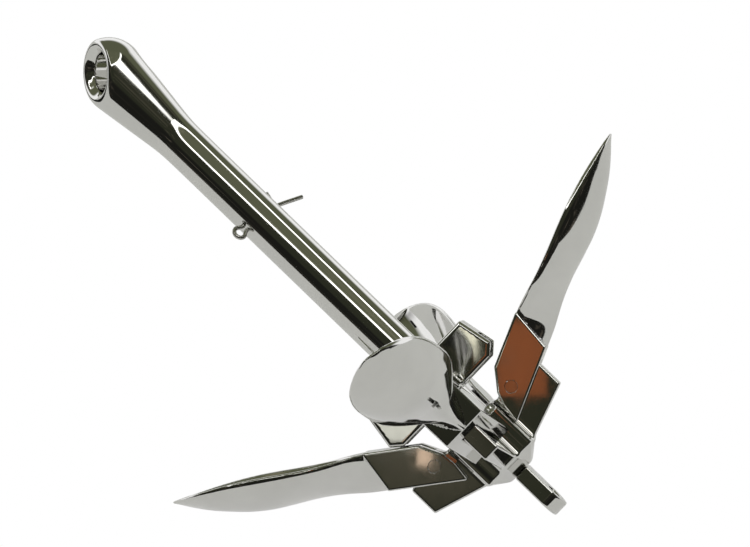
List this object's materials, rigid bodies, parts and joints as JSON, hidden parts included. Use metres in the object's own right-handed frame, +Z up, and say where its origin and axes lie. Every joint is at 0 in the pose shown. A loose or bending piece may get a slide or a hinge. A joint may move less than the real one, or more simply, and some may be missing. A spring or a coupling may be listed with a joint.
{
  "type": "folding grapnel boat anchor",
  "caption": "Folding grapnel anchor of polished steel: round shank with shackle eye, hinged spoon flukes on a finned crown, winged sliding collar with split pin stop, trip-line eye.",
  "frame": {"origin": "centre of the footprint's box, on the ground that the open anchor lies on", "axes": "+Z up; +X level, towards the shackle eye's end of the leaning shank; +Y to the left of it"},
  "size_m": [0.361, 0.287, 0.2722],
  "materials": {
    "shank_steel": "mirror polished cast stainless steel",
    "crown_steel": "mirror polished cast stainless steel",
    "fluke_steel": "mirror polished cast stainless steel",
    "collar_steel": "mirror polished cast stainless steel",
    "pivot_pin_steel": "ground flush and polished",
    "split_pin_wire": "drawn stainless wire"
  },
  "bodies": {
    "shank_and_crown": {"shank": "shank_steel", "crown": "crown_steel", "trip_eye": "crown_steel", "cotter_pin": "split_pin_wire", "pivot_pin_high_front": "pivot_pin_steel", "pivot_pin_high_side": "pivot_pin_steel", "pivot_pin_low_back": "pivot_pin_steel", "pivot_pin_low_side": "pivot_pin_steel"},
    "collar": {"collar": "collar_steel"},
    "fluke_high_front": {"fluke_high_front": "fluke_steel"},
    "fluke_high_side": {"fluke_high_side": "fluke_steel"},
    "fluke_low_back": {"fluke_low_back": "fluke_steel"},
    "fluke_low_side": {"fluke_low_side": "fluke_steel"}
  },
  "joints": [
    {"name": "collar_slide", "type": "slide", "parent": "shank_and_crown", "child": "collar", "axis": [0.8088, 0, 0.5881], "range_m": [0, 0.136]},
    {"name": "fold_high_front", "type": "hinge", "parent": "shank_and_crown", "child": "fluke_high_front", "pos_m": [-0.1277, 0.02106, 0.07171], "axis": [0.4351, 0.6727, -0.5984], "range_deg": [0, 61.62]},
    {"name": "fold_high_side", "type": "hinge", "parent": "shank_and_crown", "child": "fluke_high_side", "pos_m": [-0.12912, -0.0298, 0.07366], "axis": [-0.3957, 0.7399, 0.5441], "range_deg": [0, 62.42]},
    {"name": "fold_low_back", "type": "hinge", "parent": "shank_and_crown", "child": "fluke_low_back", "pos_m": [-0.09921, -0.03221, 0.03253], "axis": [-0.4351, -0.6727, 0.5984], "range_deg": [0, 51.02]},
    {"name": "fold_low_side", "type": "hinge", "parent": "shank_and_crown", "child": "fluke_low_side", "pos_m": [-0.09779, 0.01864, 0.03058], "axis": [0.3957, -0.7399, -0.5441], "range_deg": [0, 47.22]}
  ],
  "couplings": [
    {"joint": "fold_high_front", "follows": "collar_slide", "rad_per_m": 7.9053},
    {"joint": "fold_high_side", "follows": "collar_slide", "rad_per_m": 8.008},
    {"joint": "fold_low_back", "follows": "collar_slide", "rad_per_m": 6.545},
    {"joint": "fold_low_side", "follows": "collar_slide", "rad_per_m": 6.0573}
  ]
}
